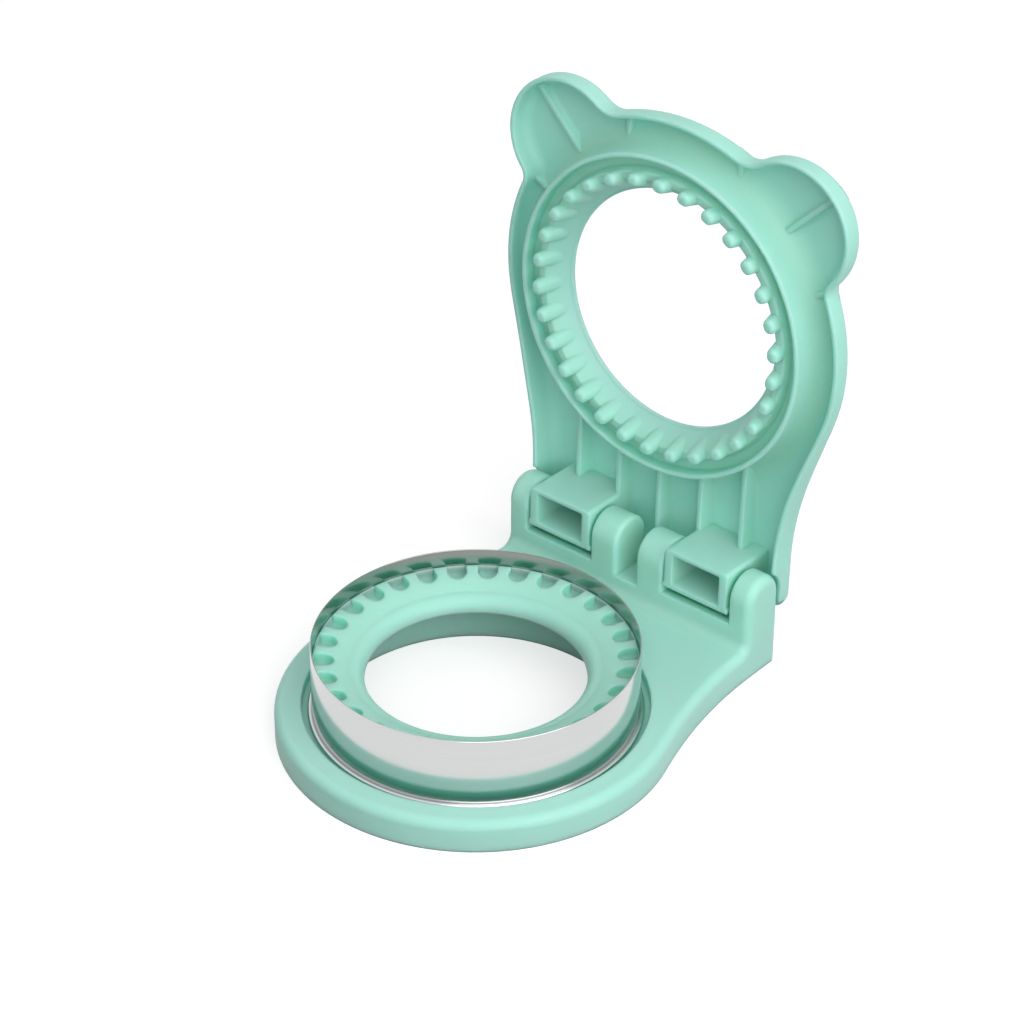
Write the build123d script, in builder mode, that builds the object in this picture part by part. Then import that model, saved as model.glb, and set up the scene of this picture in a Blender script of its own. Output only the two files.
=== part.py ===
from build123d import *
import os
from math import cos, radians, sin, sqrt

# A hinged press that cuts a round out of a sandwich and crimps its edge. Millimetres, +Z up.
# The origin is on the table, on the axis of the steel band. The hinge is at the back, towards +Y.
# The lid is moulded in its own frame, inner face up, and then stood open on the hinge.

# Base plate
plate_radius = 56.0
plate_top = 9.4
plate_thickness = 2.0
skirt_wall = 2.0
tail_half_width = 44.5
base_leave_angle = 18.5
base_neck = 68.0
base_edge_round = 2.6

# Steel band, rolled into a bead at its foot
band_radius = 45.6
band_gauge = 0.4
band_top = 28.7
bead_radius = 0.8
channel_floor = 6.6
channel_gap = 1.8
channel_floor_thickness = 2.0
band_fit = 0.05

# Crimp ring of the base, and the pockets in it
base_hole_radius = 43.1
crimp_top = 23.8
crimp_lip_radius = 30.8
crimp_lip_foot = 16.65
crimp_lip_top = 21.3
crimp_lip_round = 4.0
crimp_lip_wall = 2.4
crimp_crown = 0.25
crimp_edge_round = 0.9
crimp_underside = 18.6
crimp_underside_round = 3.0
tooth_count = 30
pocket_radius = 2.85
pocket_inner_end = 39.0
pocket_floor = 20.4
pocket_floor_round = 1.3
pocket_rim = 0.4

# Hinge
hinge_y = 73.2
hinge_z = 23.8
open_angle = 91.5
stub_radius = 2.6
stub_depth = 3.6
stub_fit = 0.1
stub_end_gap = 0.5
riser_front = 66.1
riser_top = 16.0
riser_foot_round = 3.0
lug_outer_inside = 36.9
lug_inner_outside = 13.2
slot_half_width = 3.7
slot_floor = 14.4
lid_stop_gap = 0.35
lug_edge_round = 1.2
sweep_gap = 0.4

# Lid plate, rim and ears
lid_radius = 58.0
lid_drop = 9.75
lid_floor = -3.0
lid_plate = 1.5
rim_height = 3.2
rim_tail_height = 5.8
rim_rise_start = 10.0
rim_rise_end = 46.0
rim_wall = 1.5
rim_cove = 3.0
rim_edge_round = 0.6
lid_back_round = 4.0
lid_leave_angle = 17.0
lid_neck = 66.0
lid_tail = 8.1
ear_sink = 2.92
ear_angle = 45.37
ear_radius = 19.6
ear_join_round = 8.0
ear_side_round = 4.0
lid_corner_round = 4.5
rim_end = 4.6

# Lid collar, groove and crimp teeth
collar_outer = 48.5
collar_inner = 47.0
collar_crest = 8.3
collar_lap = 1.0
collar_fillet = 7.5
groove_depth_gap = 0.35
ridge_foot = 43.9
ridge_outer = 43.0
ridge_inner = 40.6
ridge_height = 6.9
ridge_round = 1.0
lid_hole_radius = 35.6
lid_hole_edge = 0.66
lid_lip_round = 0.7
recess_roof = 2.4
recess_outer = 46.2
tooth_outer = 43.2
tooth_root = 2.6
tooth_root_length = 5.5
tooth_root_width = 6.0
tooth_root_round = 2.6
tooth_tip = 10.6
tooth_tip_length = 3.4
tooth_tip_width = 4.0
tooth_tip_round = 1.6
tooth_nose_round = 1.3

# Lid ribs
rib_wall = 1.5
rib_cove = 1.2
rib_pitch = 14.8
rib_count = 5
rib_top = 2.6
ear_rib_top = -0.8
top_rib_x = 19.1
side_rib_angle = 24.0

# Knuckle boxes of the lid
box_inside = 14.0
box_outside = 35.8
box_front = 6.95
box_above = 7.5
box_below = 5.1
box_side_wall = 2.6
box_top_wall = 1.3
box_floor_wall = 1.5
box_corner_round = 1.0
foot_proud = 0.6
foot_height = 1.4
foot_depth = 3.0

# How far a cut runs past the face it opens, and how near an edge lies to where it is looked for
cut_margin = 1.0
near = 0.1

# Worked out from the values above
band_inner = band_radius - band_gauge
channel_radius = band_inner + 2 * bead_radius + channel_gap
crimp_outer = band_inner - band_fit
lid_height = hinge_z + lid_drop
groove_floor = lid_height - band_top - groove_depth_gap
lid_tail_end = hinge_y + lid_tail
lid_back = lid_floor - lid_plate
ear_x = (lid_radius - ear_sink) * cos(radians(ear_angle))
ear_y = (lid_radius - ear_sink) * sin(radians(ear_angle))
lid_reach = max(lid_radius, ear_x + ear_radius, ear_y + ear_radius) + cut_margin
box_reach = lid_drop + box_front
pocket_centre = pocket_inner_end + pocket_radius
pocket_outer = crimp_outer - pocket_rim
box_corner = sqrt(box_below**2 + box_front**2)
trough_radius = box_corner + sweep_gap
lug_radius = hinge_y - riser_front
base_back = hinge_y + lug_radius
lug_rim_height = lid_drop - lug_radius - lid_stop_gap
lean = radians(open_angle - 90)
hinge = Vector(0, hinge_y, hinge_z)


def tailed_disc(radius, half_width, neck, end, leave_angle, towards):
    """Round plate whose sides leave the circle and narrow in an S to a straight tail."""
    with BuildSketch() as plate:
        with BuildLine():
            round_end = CenterArc((0, 0), radius, -90 * towards, (90 + leave_angle) * towards)
            flank = Spline(
                round_end @ 1,
                (half_width, neck * towards),
                tangents=(round_end % 1, (0, towards)),
            )
            side = Line(flank @ 1, (half_width, end * towards))
            Line(side @ 1, (0, end * towards))
            mirror(about=Plane.YZ)
        make_face()
    return plate.sketch


def base_outline(inset):
    """Outline of the base, drawn in by inset."""
    half_width = tail_half_width - inset
    end = base_back - inset
    return tailed_disc(plate_radius - inset, half_width, base_neck, end, base_leave_angle, 1)


def lid_outline(inset, end):
    """Outline of the lid, with its two ears, drawn in by inset."""
    radius = lid_radius - inset
    half_width = tail_half_width - inset
    with BuildSketch() as plate:
        add(tailed_disc(radius, half_width, lid_neck, end, lid_leave_angle, -1))
        with Locations((ear_x, ear_y), (-ear_x, ear_y)):
            Circle(ear_radius - inset)
        side_joins = plate.vertices().filter_by(lambda v: abs(v.X) > v.Y > 0)
        fillet(side_joins, ear_side_round + inset)
        top_joins = plate.vertices().filter_by(lambda v: near < abs(v.X) < v.Y)
        fillet(top_joins, ear_join_round + inset)
        if inset == 0:
            fillet(plate.vertices().group_by(Axis.Y)[0], lid_corner_round)
    return plate.sketch


def half_chord(radius, offset):
    """Half the length of the chord that lies offset from the middle of a circle."""
    return sqrt(radius**2 - offset**2)


def polar(radius, angle):
    """Point at a radius and an angle in degrees."""
    return Vector(radius * cos(radians(angle)), radius * sin(radians(angle)))


def floor_rib(start, end, top):
    """Straight rib with coved feet on the floor of the lid, between two points."""
    run = end - start
    half = rib_wall / 2
    across = Plane(start + Vector(0, 0, lid_floor), x_dir=(-run.Y, run.X, 0), z_dir=run)
    with BuildPart() as rib:
        with BuildSketch(across):
            with BuildLine():
                left_foot = RadiusArc((-half - rib_cove, 0), (-half, rib_cove), -rib_cove)
                right_foot = RadiusArc((half, rib_cove), (half + rib_cove, 0), -rib_cove)
                height = top - lid_floor
                Polyline(left_foot @ 1, (-half, height), (half, height), right_foot @ 0)
                Line(right_foot @ 1, left_foot @ 0)
            make_face()
        extrude(amount=run.length)
    return rib.part


def both_sides(inner, outer):
    """Middle and width of a pair of spans, one on each side of the middle plane."""
    middle = (inner + outer) / 2
    return [middle, -middle], outer - inner


# Base: skirted plate, crimp ring, channel for the band, riser and lugs
with BuildPart() as base:
    # The plate, the riser and the lugs are one outline from above cut by one outline from the side
    lug_top = hinge_z + lug_radius
    front_end = -plate_radius - cut_margin
    with BuildSketch():
        add(base_outline(0))
    extrude(amount=lug_top)
    with BuildSketch(Plane.YZ):
        with BuildLine():
            riser_foot = RadiusArc(
                (riser_front - riser_foot_round, plate_top),
                (riser_front, plate_top + riser_foot_round),
                -riser_foot_round,
            )
            riser_face = Line(riser_foot @ 1, (riser_front, hinge_z))
            lug_crown = ThreePointArc(riser_face @ 1, (hinge_y, lug_top), (base_back, hinge_z))
            Polyline(
                lug_crown @ 1,
                (base_back, 0),
                (front_end, 0),
                (front_end, plate_top),
                riser_foot @ 0,
            )
        make_face()
    extrude(amount=plate_radius + cut_margin, both=True, mode=Mode.INTERSECT)
    outer_edges = base.edges().filter_by(Axis.X, reverse=True).filter_by(
        lambda e: e.bounding_box().min.Z > near or (e @ 0.5).Z > near and e.center().Y > base_back - near
    )
    fillet(outer_edges, base_edge_round)

    # Trough under each knuckle box, and the slot that lets the inner lugs spring apart
    middles, trough_width = both_sides(lug_inner_outside, lug_outer_inside)
    riser_depth = base_back - riser_front
    for middle in middles:
        with Locations((middle, hinge_y, riser_top)):
            Box(
                trough_width,
                riser_depth + 2 * cut_margin,
                lug_top - riser_top,
                align=(Align.CENTER, Align.CENTER, Align.MIN),
                mode=Mode.SUBTRACT,
            )
        with Locations(Plane.YZ.offset(middle)):
            with Locations((hinge_y, hinge_z)):
                Cylinder(trough_radius, trough_width, mode=Mode.SUBTRACT)
    with Locations((0, hinge_y, slot_floor)):
        Box(
            2 * slot_half_width,
            riser_depth + 2 * cut_margin,
            lug_top - slot_floor,
            align=(Align.CENTER, Align.CENTER, Align.MIN),
            mode=Mode.SUBTRACT,
        )
    lug_arcs = base.edges().filter_by(GeomType.CIRCLE).filter_by(
        lambda e: abs(e.radius - lug_radius) < near and abs(e.arc_center.X) < lug_outer_inside + near
    )
    fillet(lug_arcs, lug_edge_round)

    # Blind holes for the stubs of the lid
    stub_hole = stub_depth + stub_end_gap
    hole_starts = (lug_outer_inside + stub_hole / 2, lug_inner_outside - stub_hole / 2)
    for start in hole_starts:
        for middle in (start, -start):
            with Locations(Plane.YZ.offset(middle)):
                with Locations((hinge_y, hinge_z)):
                    Cylinder(stub_radius + stub_fit, stub_hole, mode=Mode.SUBTRACT)

    # Hollow underside
    with BuildSketch():
        add(base_outline(skirt_wall))
    extrude(amount=plate_top - plate_thickness, mode=Mode.SUBTRACT)

    core_top = min(slot_floor, hinge_z - trough_radius) - skirt_wall
    with BuildSketch():
        with Locations((0, hinge_y)):
            Rectangle(2 * (tail_half_width - skirt_wall), riser_depth - 2 * skirt_wall)
    extrude(amount=core_top, mode=Mode.SUBTRACT)

    # Open middle, then the turned section of channel, inner wall and crimp ring
    web_radius = channel_radius + skirt_wall
    with BuildSketch():
        Circle(web_radius)
    extrude(amount=plate_top, mode=Mode.SUBTRACT)
    with BuildSketch(Plane.XZ):
        with BuildLine():
            crimp_mid = (crimp_lip_radius + crimp_outer) / 2
            slope_mid = (crimp_lip_top + crimp_top) / 2 + crimp_crown
            lip_x = crimp_lip_radius + crimp_lip_round
            edge_x = crimp_outer - crimp_edge_round
            edge_z = crimp_top - crimp_edge_round
            web_low = channel_floor - channel_floor_thickness
            slope = ThreePointArc((lip_x, crimp_lip_top), (crimp_mid, slope_mid), (edge_x, crimp_top))
            RadiusArc(slope @ 1, (crimp_outer, edge_z), crimp_edge_round)
            outside = Polyline(
                (crimp_outer, edge_z),
                (crimp_outer, channel_floor),
                (channel_radius, channel_floor),
                (channel_radius, plate_top),
                (web_radius, plate_top),
                (web_radius, web_low),
                (crimp_outer, web_low),
                (crimp_outer, 0),
                (base_hole_radius, 0),
                (base_hole_radius, crimp_underside - crimp_underside_round),
            )
            corner = RadiusArc(
                outside @ 1,
                (base_hole_radius - crimp_underside_round, crimp_underside),
                -crimp_underside_round,
            )
            lip = Polyline(
                corner @ 1,
                (crimp_lip_radius + crimp_lip_wall, crimp_underside),
                (crimp_lip_radius + crimp_lip_wall, crimp_lip_foot),
                (crimp_lip_radius, crimp_lip_foot),
                (crimp_lip_radius, crimp_lip_top - crimp_lip_round),
            )
            RadiusArc(lip @ 1, slope @ 0, crimp_lip_round)
        make_face()
    revolve(axis=Axis.Z)

    # Pockets that the teeth of the lid come down into, each closed outwards by a thin rim
    with BuildPart(mode=Mode.PRIVATE) as pocket:
        with BuildSketch(Plane.XY.offset(pocket_floor)):
            with Locations((pocket_centre, 0)):
                Circle(pocket_radius)
                Rectangle(
                    crimp_outer - pocket_centre,
                    2 * pocket_radius,
                    align=(Align.MIN, Align.CENTER),
                )
            Circle(pocket_outer, mode=Mode.INTERSECT)
        extrude(amount=crimp_top - pocket_floor + cut_margin)
        fillet(pocket.faces().sort_by(Axis.Z)[0].edges(), pocket_floor_round)
    with PolarLocations(0, tooth_count, start_angle=180 / tooth_count):
        add(pocket.part, mode=Mode.SUBTRACT)

# Steel band: one rolled strip with a bead at its foot
bead_centre = band_inner + bead_radius
with BuildPart() as cutter_ring:
    with BuildSketch(Plane.XZ):
        strip_foot = channel_floor + bead_radius
        with Locations((band_inner + band_gauge / 2, (strip_foot + band_top) / 2)):
            Rectangle(band_gauge, band_top - strip_foot)
        with Locations((bead_centre, strip_foot)):
            Circle(bead_radius)
    revolve(axis=Axis.Z)

# Lid moulding, inner face up, with its ring on the origin and the hinge towards -Y
box_middle, box_width = both_sides(box_inside, box_outside)
with BuildPart() as lid_moulding:
    with BuildSketch(Plane.XY.offset(lid_back)):
        add(lid_outline(0, lid_tail_end))
    extrude(amount=rim_tail_height - lid_back)
    fillet(lid_moulding.faces().sort_by(Axis.Z)[0].edges(), lid_back_round)
    rim_stop = hinge_y + rim_end
    with BuildSketch(Plane.XY.offset(lid_floor)):
        add(lid_outline(rim_wall, rim_stop))
    extrude(amount=rim_tail_height - lid_floor, mode=Mode.SUBTRACT)
    floor_edges = lid_moulding.edges().filter_by_position(Axis.Z, lid_floor - near, lid_floor + near)
    fillet(floor_edges.filter_by(Axis.X, reverse=True), rim_cove)

    # The rim is low round the ears, rises along the flanks, and stays clear of the lugs
    over = rim_tail_height + cut_margin
    with BuildSketch(Plane.YZ):
        with BuildLine():
            rise = Spline(
                (-rim_rise_end, rim_tail_height),
                (-rim_rise_start, rim_height),
                tangents=((1, 0), (1, 0)),
            )
            Polyline(
                rise @ 1,
                (lid_reach, rim_height),
                (lid_reach, over),
                (-rim_rise_end, over),
                rise @ 0,
            )
        make_face()
    extrude(amount=lid_reach, both=True, mode=Mode.SUBTRACT)
    rim_top = lid_moulding.faces().filter_by(lambda f: f.center().Z > rim_height - near)
    rim_top = rim_top.filter_by(lambda f: f.normal_at().Z > near)
    fillet(rim_top.edges().filter_by(Axis.X, reverse=True), rim_edge_round)
    for start, low in ((rim_stop, 0), (hinge_y, lug_rim_height)):
        with BuildSketch(Plane.XY.offset(low)):
            with Locations((0, -(start + lid_tail_end + cut_margin) / 2)):
                Rectangle(2 * lid_radius, lid_tail_end + cut_margin - start)
        extrude(amount=over, mode=Mode.SUBTRACT)
    with Locations(Plane.YZ):
        with Locations((-hinge_y, lid_drop)):
            Cylinder(lug_radius + lid_stop_gap, 2 * lid_radius, mode=Mode.SUBTRACT)

    # Ribs from the collar down to the hinge, up to the rim, and across the ears
    with BuildPart(mode=Mode.PRIVATE) as ribs:
        for place in range(rib_count):
            rib_x = (place - (rib_count - 1) / 2) * rib_pitch
            add(floor_rib(Vector(rib_x, -half_chord(collar_inner, rib_x)), Vector(rib_x, -rim_stop), rib_top))
        for side_angle in (side_rib_angle, 180 - side_rib_angle):
            side_start = polar(collar_inner, side_angle)
            add(floor_rib(side_start, polar(lid_radius, side_angle), ear_rib_top))
        for side in (-1, 1):
            top_x = side * top_rib_x
            top_start = Vector(top_x, half_chord(collar_inner, top_x))
            add(floor_rib(top_start, Vector(top_x, half_chord(lid_radius, top_x)), ear_rib_top))
            ear_way = Vector(side * ear_x, ear_y).normalized()
            ear_end = ear_way * (lid_radius - ear_sink + ear_radius)
            add(floor_rib(ear_way * collar_inner, ear_end, ear_rib_top))
        with BuildSketch(Plane.XY.offset(lid_floor)):
            add(lid_outline(rim_wall / 2, rim_stop))
        extrude(amount=rib_top - lid_floor, mode=Mode.INTERSECT)
    add(ribs.part)

    # Knuckle boxes, open at the front
    box_high = box_above - hinge_y
    box_low = -box_below - hinge_y
    for middle in box_middle:
        with BuildSketch(Plane.XY.offset(lid_floor)):
            with Locations((middle, (box_high + box_low) / 2)):
                RectangleRounded(box_width, box_high - box_low, box_corner_round)
        extrude(amount=box_reach - lid_floor)
        with Locations((middle, box_low + foot_height / 2, box_reach)):
            Box(
                box_width + 2 * foot_proud,
                foot_height,
                foot_depth,
                align=(Align.CENTER, Align.CENTER, Align.MAX),
            )
        with BuildSketch(Plane.XY.offset(box_reach)):
            opening_high = box_high - box_top_wall
            opening_low = box_low + box_floor_wall
            with Locations((middle, (opening_high + opening_low) / 2)):
                RectangleRounded(
                    box_width - 2 * box_side_wall,
                    opening_high - opening_low,
                    box_corner_round / 2,
                )
        extrude(amount=lid_floor - box_reach, mode=Mode.SUBTRACT)
        side = 1 if middle > 0 else -1
        for start, end in (
            (lug_inner_outside - stub_depth, box_inside + box_side_wall / 2),
            (box_outside - box_side_wall / 2, lug_outer_inside + stub_depth),
        ):
            with Locations(Plane.YZ.offset(side * (start + end) / 2)):
                with Locations((-hinge_y, lid_drop)):
                    Cylinder(stub_radius, end - start)

    # Collar, groove, ridge and open middle, turned as one section
    with BuildSketch(Plane.XY.offset(lid_back)):
        Circle(collar_outer)
    extrude(amount=collar_crest - lid_back, mode=Mode.SUBTRACT)
    with BuildSketch(Plane.XZ) as ring_section:
        with BuildLine():
            crest_round = (collar_outer - collar_inner) / 2
            crest_side = collar_crest - crest_round
            foot = RadiusArc(
                (collar_outer + collar_fillet, lid_floor),
                (collar_outer, lid_floor + collar_fillet),
                collar_fillet,
            )
            wall_side = Line(foot @ 1, (collar_outer, crest_side))
            crest = ThreePointArc(
                wall_side @ 1,
                ((collar_outer + collar_inner) / 2, collar_crest),
                (collar_inner, crest_side),
            )
            inside = Polyline(
                crest @ 1,
                (collar_inner, groove_floor),
                (ridge_foot, groove_floor),
                (ridge_outer, ridge_height),
                (ridge_inner, ridge_height),
                (lid_hole_radius + lid_lip_round, lid_hole_edge),
            )
            lip_low = lid_hole_edge - 2 * lid_lip_round
            ThreePointArc(
                inside @ 1,
                (lid_hole_radius, lid_hole_edge - lid_lip_round),
                (lid_hole_radius + lid_lip_round, lip_low),
            )
            Polyline(
                (lid_hole_radius + lid_lip_round, lip_low),
                (lid_hole_radius + lid_lip_round + recess_roof - lip_low, recess_roof),
                (recess_outer, recess_roof),
                (recess_outer, lid_back),
                (collar_outer + collar_lap, lid_back),
                (collar_outer + collar_lap, lid_floor),
                (collar_outer + collar_fillet, lid_floor),
            )
        make_face()
        ridge_corners = ring_section.vertices().filter_by(
            lambda v: abs(v.Z - ridge_height) < near and v.X < ridge_foot
        )
        fillet(ridge_corners, ridge_round)
    revolve(axis=Axis.Z)

    # Round-nosed teeth that stand on the ridge
    with BuildPart(mode=Mode.PRIVATE) as tooth:
        with BuildSketch(Plane.XY.offset(tooth_root)):
            with Locations((tooth_outer - tooth_root_length / 2, 0)):
                RectangleRounded(tooth_root_length, tooth_root_width, tooth_root_round)
        with BuildSketch(Plane.XY.offset(tooth_tip)):
            with Locations((tooth_outer - tooth_tip_length / 2, 0)):
                RectangleRounded(tooth_tip_length, tooth_tip_width, tooth_tip_round)
        loft()
        fillet(tooth.faces().sort_by(Axis.Z)[-1].edges(), tooth_nose_round)
    with PolarLocations(0, tooth_count, start_angle=180 / tooth_count):
        add(tooth.part)

# The lid stood open: its plate leans back past upright by the hinge's resting angle
lid_ring_centre = hinge + Vector(
    0,
    hinge_y * sin(lean) + lid_drop * cos(lean),
    hinge_y * cos(lean) - lid_drop * sin(lean),
)
lid_plane = Plane(
    origin=lid_ring_centre,
    x_dir=(1, 0, 0),
    z_dir=(0, -cos(lean), sin(lean)),
)
with BuildPart() as lid:
    add(lid_moulding.part.moved(lid_plane.location))

base.part.label = "base"
cutter_ring.part.label = "cutter_ring"
lid.part.label = "lid"

os.makedirs("parts", exist_ok=True)
export_step(base.part, "parts/base.step")
export_step(cutter_ring.part, "parts/cutter_ring.step")
export_step(lid.part, "parts/lid.step")
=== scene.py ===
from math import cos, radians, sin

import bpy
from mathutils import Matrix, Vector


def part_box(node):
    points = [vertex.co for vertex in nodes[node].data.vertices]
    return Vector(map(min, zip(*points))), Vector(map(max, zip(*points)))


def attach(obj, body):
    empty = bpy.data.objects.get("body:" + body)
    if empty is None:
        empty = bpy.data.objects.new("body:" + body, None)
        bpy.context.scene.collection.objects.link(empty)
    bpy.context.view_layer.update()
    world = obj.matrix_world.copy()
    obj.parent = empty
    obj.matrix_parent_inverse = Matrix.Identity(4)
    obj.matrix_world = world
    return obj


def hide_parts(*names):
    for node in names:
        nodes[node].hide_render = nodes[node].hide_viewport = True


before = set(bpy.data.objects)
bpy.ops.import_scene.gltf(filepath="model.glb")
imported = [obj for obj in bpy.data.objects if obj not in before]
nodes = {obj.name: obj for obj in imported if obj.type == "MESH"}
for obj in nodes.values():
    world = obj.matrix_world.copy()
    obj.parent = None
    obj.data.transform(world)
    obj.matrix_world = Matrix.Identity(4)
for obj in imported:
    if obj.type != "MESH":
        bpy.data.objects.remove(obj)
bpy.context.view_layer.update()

# %% [markdown]
# # A sandwich cutter and sealer
# The imported model is already in the scene: a moulded base, a steel band and a toothed lid on
# a snap hinge. Everything below dresses that frame, in metres, and never moves it.

MM = 0.001

# %% [markdown]
# ## The camera
# The photograph looks down on the press from its front right corner. Azimuth is measured from
# straight ahead towards the right and elevation from the table. A long lens keeps the sides of
# the object nearly parallel, as a product photographer would.

# %% Camera
CAMERA_PLACE = Vector((488.6, -568.0, 562.2)) * MM
AZIMUTH, ELEVATION, ROLL = radians(39.96), radians(33.24), radians(0.27)
LENS_MM = 117.85

back = Vector((sin(AZIMUTH) * cos(ELEVATION), -cos(AZIMUTH) * cos(ELEVATION), sin(ELEVATION)))
level_right = Vector((cos(AZIMUTH), sin(AZIMUTH), 0))
level_up = back.cross(level_right)
right = level_right * cos(ROLL) + level_up * sin(ROLL)
up = level_up * cos(ROLL) - level_right * sin(ROLL)

camera = bpy.data.objects.new("camera", bpy.data.cameras.new("camera"))
bpy.context.collection.objects.link(camera)
camera.data.lens = LENS_MM
turn = Matrix((right, up, back)).transposed().to_4x4()
camera.matrix_world = Matrix.Translation(CAMERA_PLACE) @ turn
bpy.context.scene.camera = camera
print("camera at", CAMERA_PLACE, "lens", LENS_MM)

# %% [markdown]
# ## Node trees as Python
# Shader and geometry trees are easier to read as sums than as wires. `Value` wraps one output
# of a node, and the usual operators on it add Math nodes to the tree that it belongs to.

# %% Values
class Value:
    """One output of a node. Operators on it add Math nodes to its tree."""

    def __init__(self, tree, socket):
        self.tree = tree
        self.socket = socket

    def out(self, name):
        """Another output of the same node."""
        return Value(self.tree, self.socket.node.outputs[name])

    def math(self, operation, *operands):
        """One Math node with these operands."""
        return self.tree.add("ShaderNodeMath", {"operation": operation}, dict(enumerate(operands)))

    def __add__(self, other):
        return self.math("ADD", self, other)

    def __radd__(self, other):
        return self.math("ADD", other, self)

    def __sub__(self, other):
        return self.math("SUBTRACT", self, other)

    def __rsub__(self, other):
        return self.math("SUBTRACT", other, self)

    def __mul__(self, other):
        return self.math("MULTIPLY", self, other)

    def __rmul__(self, other):
        return self.math("MULTIPLY", other, self)

    def __truediv__(self, other):
        return self.math("DIVIDE", self, other)

    def __lt__(self, other):
        return self.math("LESS_THAN", self, other)


print("values ready")

# %% [markdown]
# ## Trees
# `Tree.add` makes every other node. Its settings come first, because some of them change which
# sockets the node has, and then the values or links of its inputs. Two nodes that most
# materials need, a noise and a blend of colours, have a function each.

# %% Trees
class Tree:
    """A shader or geometry tree that nodes are added to."""

    def __init__(self, tree):
        self.tree = tree

    def add(self, kind, settings=None, inputs=None, output=0):
        """Adds one node, with its settings first, then values or links on its inputs."""
        node = self.tree.nodes.new(kind)
        for name, value in (settings or {}).items():
            setattr(node, name, value)
        for name, value in (inputs or {}).items():
            if isinstance(value, Value):
                self.tree.links.new(value.socket, node.inputs[name])
            else:
                node.inputs[name].default_value = value
        return Value(self, node.outputs[output]) if len(node.outputs) else node


def noise(tree, place, scale, detail):
    """A noise from 0 to 1 with this many features a metre."""
    inputs = {"Vector": place, "Scale": scale, "Detail": detail}
    return tree.add("ShaderNodeTexNoise", None, inputs)


def blend(tree, share, first, second):
    """Two colours mixed: the first where the share is 0 and the second where it is 1."""
    inputs = {0: share, "A": first, "B": second}
    return tree.add("ShaderNodeMix", {"data_type": "RGBA"}, inputs, output=2)


def linear(red, green, blue):
    """An 8-bit screen colour as the linear colour that Blender works in."""
    return (*(((c / 255 + 0.055) / 1.055) ** 2.4 for c in (red, green, blue)), 1)


def new_material(name):
    """An empty material and its tree."""
    material = bpy.data.materials.new(name)
    material.use_nodes = True
    material.node_tree.nodes.clear()
    return material, Tree(material.node_tree)


def dress(name, material):
    """Gives every material slot of a frame node this material."""
    for slot in nodes[name].material_slots:
        slot.material = material
    print(material.name, "on", name)


print("node helpers ready")

# %% [markdown]
# ## Mint plastic
# The base and the lid are injection moulded in a soft mint plastic with a satin skin. The
# colour is nearly even: it clouds slightly where the melt flowed, and the skin has a very fine
# spark-eroded grain that breaks up the highlights. Light passes under the surface. Small
# hollows are given painted shade, a deeper green read from how closed in each point is. The
# edges of the mouldings are broken by a small radius, which the normals carry.

# %% Mint plastic
MINT_LIGHT = linear(168, 223, 207)
MINT_DEEP = linear(160, 217, 200)
# The deeper green of the painted shade in small hollows.
MINT_HOLLOW_PAINTED_SHADE = linear(116, 216, 190)
CLOUD_SHARE = 0.75
GRAIN_SHARE = 0.6
SATIN = 0.4
SATIN_SPREAD = 0.1
HOLLOW_REACH = 6 * MM
OPEN_FROM = 2.2
EDGE_RADIUS = 0.9 * MM


def mint_plastic(name):
    """Satin moulded plastic that clouds between two tones, with painted shade, a deeper green, in
    small hollows.
    """
    material, tree = new_material(name)
    place = tree.add("ShaderNodeTexCoord").out("Object")
    cloud = noise(tree, place, scale=38.0, detail=3.0)
    speck = noise(tree, place, scale=900.0, detail=2.0)
    grain = noise(tree, place, scale=2600.0, detail=1.0)
    shade = cloud * CLOUD_SHARE + speck * (1 - CLOUD_SHARE)
    colour = blend(tree, shade, MINT_LIGHT, MINT_DEEP)
    # Painted shade: where ambient occlusion finds a small hollow, the colour is blended towards a
    # deeper green.
    openness = tree.add(
        "ShaderNodeAmbientOcclusion", {"samples": 4}, {"Distance": HOLLOW_REACH}, output="AO"
    )
    colour = blend(tree, openness * OPEN_FROM, MINT_HOLLOW_PAINTED_SHADE, colour)
    skin = grain * GRAIN_SHARE + cloud * (1 - GRAIN_SHARE)
    soft_edge = tree.add("ShaderNodeBevel", {"samples": 4}, {"Radius": EDGE_RADIUS})
    bump = tree.add(
        "ShaderNodeBump",
        None,
        {"Strength": 0.12, "Distance": 0.08 * MM, "Height": skin, "Normal": soft_edge},
    )
    surface = tree.add(
        "ShaderNodeBsdfPrincipled",
        None,
        {
            "Base Color": colour,
            "Roughness": SATIN + speck * SATIN_SPREAD,
            "Normal": bump,
            "IOR": 1.49,
            "Specular IOR Level": 0.3,
            "Subsurface Weight": 0.75,
            "Subsurface Radius": (0.4, 1.0, 0.85),
            "Subsurface Scale": 6 * MM,
        },
    )
    tree.add("ShaderNodeOutputMaterial", None, {"Surface": surface})
    return material


base_plastic = mint_plastic("base_plastic")
lid_plastic = mint_plastic("lid_plastic")
dress("base", base_plastic)
dress("lid", lid_plastic)

# %% [markdown]
# ## Polished steel
# The band is bright rolled stainless strip. Rolling leaves hair-fine lines that run round the
# band, so the grain is a noise that is stretched along the direction of rolling: it reads the
# height above the table at full rate and the place round the band hardly at all. The face inside
# the middle of the strip is given a darker colour than the outside, as painted shade.

# %% Polished steel
STEEL_BRIGHT = linear(208, 208, 208)
STEEL_GREY = linear(198, 199, 199)
# The darker colour of the painted shade on the band's inside face.
STEEL_INSIDE_PAINTED_SHADE = linear(160, 162, 158)
ROLLED_STRETCH = (14.0, 14.0, 5000.0)
POLISH = 0.1
SMUDGE_SPREAD = 0.08
LINE_SPREAD = 0.04
GAUGE = 0.4 * MM
BEAD = 0.8 * MM


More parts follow.
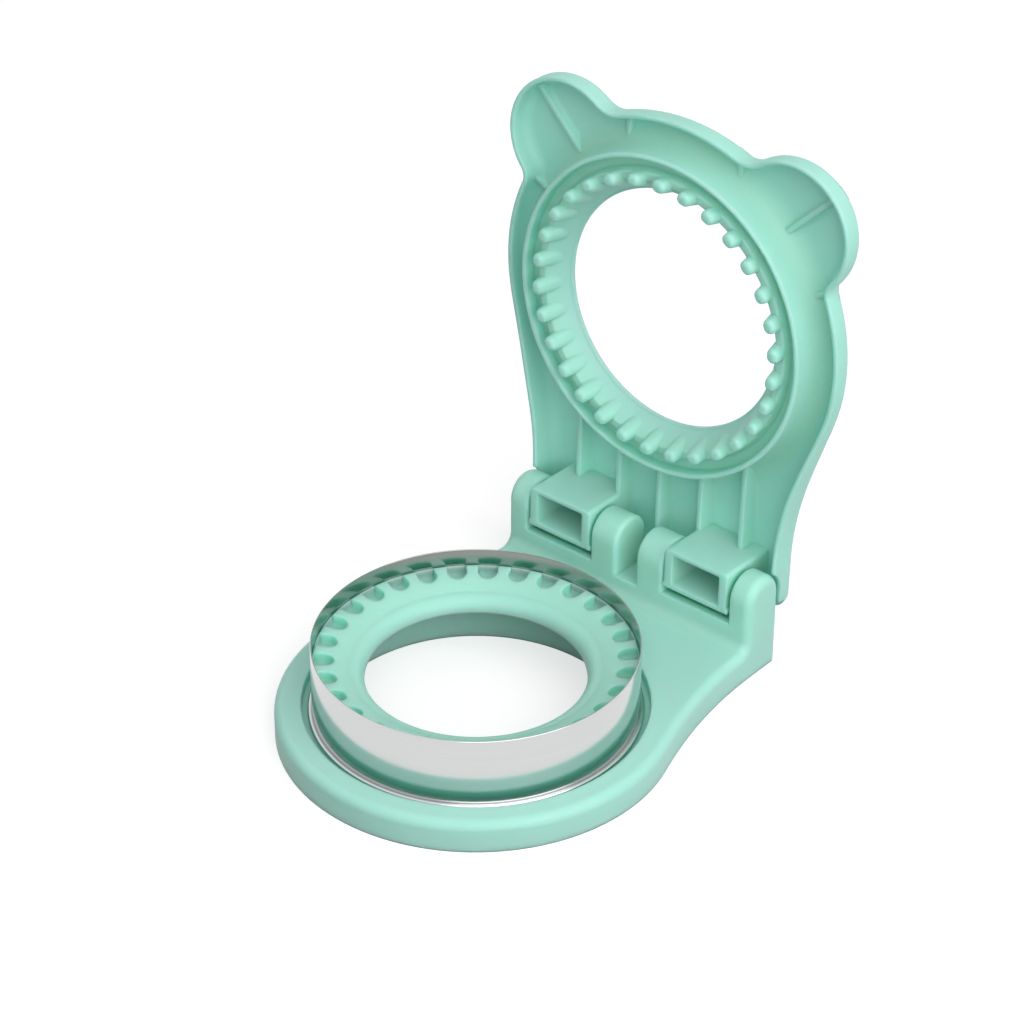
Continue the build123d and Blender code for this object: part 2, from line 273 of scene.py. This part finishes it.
def rolled_steel(name, radius):
    """Bright stainless strip with fine lines round the band, with painted shade inside this
    radius.
    """
    material, tree = new_material(name)
    place = tree.add("ShaderNodeTexCoord").out("Object")
    stretched = tree.add("ShaderNodeMapping", None, {"Vector": place, "Scale": ROLLED_STRETCH})
    lines = noise(tree, stretched, scale=1.0, detail=4.0)
    smudge = noise(tree, place, scale=60.0, detail=2.0)
    colour = blend(tree, lines, STEEL_BRIGHT, STEEL_GREY)
    level = tree.add("ShaderNodeVectorMath", {"operation": "MULTIPLY"}, {0: place, 1: (1, 1, 0)})
    from_axis = tree.add("ShaderNodeVectorMath", {"operation": "LENGTH"}, {0: level}, output=1)
    # Painted shade: inside this radius the strip takes a darker colour.
    colour = blend(tree, from_axis < radius, colour, STEEL_INSIDE_PAINTED_SHADE)
    bump = tree.add(
        "ShaderNodeBump", None, {"Strength": 0.08, "Distance": 0.02 * MM, "Height": lines}
    )
    surface = tree.add(
        "ShaderNodeBsdfPrincipled",
        None,
        {
            "Base Color": colour,
            "Metallic": 1.0,
            "Roughness": POLISH + smudge * SMUDGE_SPREAD + lines * LINE_SPREAD,
            "Normal": bump,
        },
    )
    tree.add("ShaderNodeOutputMaterial", None, {"Surface": surface})
    return material


ring_low, ring_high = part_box("cutter_ring")
strip_middle = ring_high.x - 2 * BEAD + GAUGE / 2
band_steel = rolled_steel("band_steel", strip_middle)
dress("cutter_ring", band_steel)

# %% [markdown]
# ## The steel band
# The real band is one strip, bent round and rolled outwards into a bead at its foot, which
# stands in the channel of the base. That is a rule-shaped piece: one section swept round a
# circle. A small Geometry Nodes tree does the sweep, so the strip's top edge can be rounded
# over, which the frame's plain strip leaves square. The lengths are the tree's own inputs: the
# band's radius, foot and top are read from the frame's ring.

# %% Tree of the band
def tree_input(tree, name, value):
    """Declares one length on a geometry tree's own interface."""
    socket = tree.interface.new_socket(name, in_out="INPUT", socket_type="NodeSocketFloat")
    socket.default_value = value
    return socket.identifier


sweep = bpy.data.node_groups.new("band_sweep", "GeometryNodeTree")
sweep.is_modifier = True
sweep.interface.new_socket("Geometry", in_out="OUTPUT", socket_type="NodeSocketGeometry")
sweep_sizes = {
    tree_input(sweep, "Strip radius", strip_middle): strip_middle,
    tree_input(sweep, "Gauge", GAUGE): GAUGE,
    tree_input(sweep, "Foot", ring_low.z): ring_low.z,
    tree_input(sweep, "Top", ring_high.z): ring_high.z,
    tree_input(sweep, "Bead radius", BEAD): BEAD,
}
band_tree = Tree(sweep)
given = band_tree.add("NodeGroupInput")
print("band radius", strip_middle, "from", ring_low.z, "to", ring_high.z)

# %% [markdown]
# ## Section of the band
# The strip is a tall rectangle with its corners rounded, and the bead a circle that starts on
# the strip's inner face. The sweep turns the section's Y downwards, so both are placed with
# their heights negative.

# %% Section of the band
EDGE_SHARE = 0.45
EDGE_POINTS = 4
BEAD_STEPS = 40

strip_height = given.out("Top") - given.out("Foot") - given.out("Bead radius")
strip = band_tree.add(
    "GeometryNodeCurvePrimitiveQuadrilateral",
    None,
    {"Width": given.out("Gauge"), "Height": strip_height},
)
strip = band_tree.add(
    "GeometryNodeFilletCurve",
    {"mode": "POLY"},
    {
        "Curve": strip,
        "Radius": given.out("Gauge") * EDGE_SHARE,
        "Count": EDGE_POINTS,
        "Limit Radius": True,
    },
)
strip_rise = strip_height / 2 - given.out("Top")
strip_place = band_tree.add("ShaderNodeCombineXYZ", None, {"Y": strip_rise})
strip = band_tree.add(
    "GeometryNodeTransform", None, {"Geometry": strip, "Translation": strip_place}
)
bead = band_tree.add(
    "GeometryNodeCurvePrimitiveCircle",
    None,
    {"Resolution": BEAD_STEPS, "Radius": given.out("Bead radius")},
)
bead_out = given.out("Bead radius") - given.out("Gauge") / 2
bead_rise = 0 - given.out("Foot") - given.out("Bead radius")
bead_place = band_tree.add("ShaderNodeCombineXYZ", None, {"X": bead_out, "Y": bead_rise})
bead = band_tree.add("GeometryNodeTransform", None, {"Geometry": bead, "Translation": bead_place})
section = band_tree.add("GeometryNodeJoinGeometry", None, {"Geometry": strip})
sweep.links.new(bead.socket, section.socket.node.inputs["Geometry"])
print("section of strip and bead")

# %% [markdown]
# ## Sweep of the band
# The section goes once round. The sweep is shaded smooth except across its sharp edges, so
# that the long faces of the strip stay straight in what they mirror.

# %% Sweep of the band
ROUND_STEPS = 288
SHARP_FROM = radians(12)

path = band_tree.add(
    "GeometryNodeCurvePrimitiveCircle",
    None,
    {"Resolution": ROUND_STEPS, "Radius": given.out("Strip radius")},
)
swept = band_tree.add(
    "GeometryNodeCurveToMesh", None, {"Curve": path, "Profile Curve": section}
)
swept = band_tree.add("GeometryNodeSetShadeSmooth", None, {"Geometry": swept})
sharp = band_tree.add(
    "FunctionNodeCompare",
    {"data_type": "FLOAT", "operation": "GREATER_THAN"},
    {0: band_tree.add("GeometryNodeInputMeshEdgeAngle"), 1: SHARP_FROM},
)
swept = band_tree.add(
    "GeometryNodeSetShadeSmooth",
    {"domain": "EDGE"},
    {"Geometry": swept, "Selection": sharp, "Shade Smooth": False},
)
swept = band_tree.add("GeometryNodeRealizeInstances", None, {"Geometry": swept})
swept = band_tree.add(
    "GeometryNodeSetMaterial", None, {"Geometry": swept, "Material": band_steel}
)
band_tree.add("NodeGroupOutput", None, {"Geometry": swept})
print("sweep has", len(sweep.nodes), "nodes")

# %% [markdown]
# ## The band as a piece
# The tree is run once with its inputs and its result is kept as a plain mesh at the origin.
# The piece rides on the base, because the band stands still when the lid turns.

# %% Band
def built_piece(name, tree, values):
    """Runs a geometry tree with these inputs and keeps the result as a plain mesh."""
    seed = bpy.data.objects.new(name + "_seed", bpy.data.meshes.new(name + "_seed"))
    bpy.context.collection.objects.link(seed)
    modifier = seed.modifiers.new("build", "NODES")
    modifier.node_group = tree
    for identifier, value in values.items():
        modifier[identifier] = value
    evaluated = seed.evaluated_get(bpy.context.evaluated_depsgraph_get())
    mesh = bpy.data.meshes.new_from_object(evaluated)
    bpy.data.objects.remove(seed)
    piece = bpy.data.objects.new(name, mesh)
    mesh.name = name
    bpy.context.collection.objects.link(piece)
    print(name, "has", len(mesh.vertices), "points")
    return piece


band = built_piece("steel_band", sweep, sweep_sizes)
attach(band, "base")
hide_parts("cutter_ring")

# %% [markdown]
# ## The floor
# The photograph is a cut-out on white. The floor and the world answer camera, glossy and
# transmission rays with white, so the picture and the steel both see a white studio, while
# other rays see a plain pale floor. Part of what the camera sees of the floor is still its lit
# colour, which keeps a soft shadow under the press.

# %% Floor
FLOOR_REACH = 4.0
FLOOR_GLOW = 0.62
FLOOR_SEEN = 0.5
FLOOR_HIDDEN = 0.22

floor_mesh = bpy.data.meshes.new("floor")
floor_corners = [(x, y, 0) for x, y in ((-1, -1), (1, -1), (1, 1), (-1, 1))]
floor_mesh.from_pydata(floor_corners, [], [(0, 1, 2, 3)])
floor_mesh.transform(Matrix.Scale(FLOOR_REACH, 4))
floor = bpy.data.objects.new("floor", floor_mesh)
bpy.context.collection.objects.link(floor)


def seen_directly(tree):
    """1 for camera, glossy and transmission rays, 0 for the rest."""
    path = tree.add("ShaderNodeLightPath")
    seen = path.out("Is Camera Ray") + path.out("Is Glossy Ray") + path.out("Is Transmission Ray")
    seen.socket.node.use_clamp = True
    return seen


floor_material, tree = new_material("pale_floor")
seen = seen_directly(tree)
lit_level = FLOOR_HIDDEN + seen * (FLOOR_SEEN - FLOOR_HIDDEN)
lit = tree.add("ShaderNodeCombineColor", None, dict.fromkeys(("Red", "Green", "Blue"), lit_level))
pale = tree.add("ShaderNodeBsdfDiffuse", None, {"Color": lit})
glow = tree.add("ShaderNodeEmission", None, {"Color": (1, 1, 1, 1), "Strength": seen * FLOOR_GLOW})
both = tree.add("ShaderNodeAddShader", None, {0: pale, 1: glow})
tree.add("ShaderNodeOutputMaterial", None, {"Surface": both})
floor_mesh.materials.append(floor_material)
print("floor made")

# %% [markdown]
# ## World
# The world is an even white. Rays that the camera or the steel sends out see it at full
# strength, and the light that it gives is lower, so that the lamps can shape the object.

# %% World
WORLD_LIGHT = 0.5
world = bpy.data.worlds.new("studio")
world.use_nodes = True
world.node_tree.nodes.clear()
tree = Tree(world.node_tree)
seen = seen_directly(tree)
strength = WORLD_LIGHT + seen * (1 - WORLD_LIGHT)
sky = tree.add("ShaderNodeBackground", None, {"Color": (1, 1, 1, 1), "Strength": strength})
tree.add("ShaderNodeOutputWorld", None, {"Surface": sky})
bpy.context.scene.world = world
print("world made")

# %% [markdown]
# ## Lamps
# The key light in the photograph is a large soft one on the right. It brightens every wall that
# faces right, and leaves the floor of the tray between the ribs in their shade. A weak lamp
# overhead fills the tops.

# %% Lamps
MIDDLE = Vector((0, 20, 60)) * MM


def soft_lamp(name, azimuth, elevation, distance, size, power):
    """A square soft lamp that looks at the middle of the press: degrees, metres and watts."""
    lamp = bpy.data.objects.new(name, bpy.data.lights.new(name, "AREA"))
    bpy.context.collection.objects.link(lamp)
    a, e = radians(azimuth), radians(elevation)
    towards = Vector((sin(a) * cos(e), -cos(a) * cos(e), sin(e)))
    lamp.location = MIDDLE + towards * distance
    lamp.rotation_mode = "QUATERNION"
    lamp.rotation_quaternion = towards.to_track_quat("Z", "Y")
    lamp.data.size = size
    lamp.data.energy = power


soft_lamp("right_softbox", azimuth=66, elevation=36, distance=1.6, size=2.0, power=31.0)
soft_lamp("overhead_softbox", azimuth=-20, elevation=75, distance=1.7, size=1.4, power=0.8)
print("lamps made")

# %% [markdown]
# ## Look
# Standard view transform, with nothing graded afterwards.

# %% Look
scene = bpy.context.scene
scene.view_settings.view_transform = "Standard"
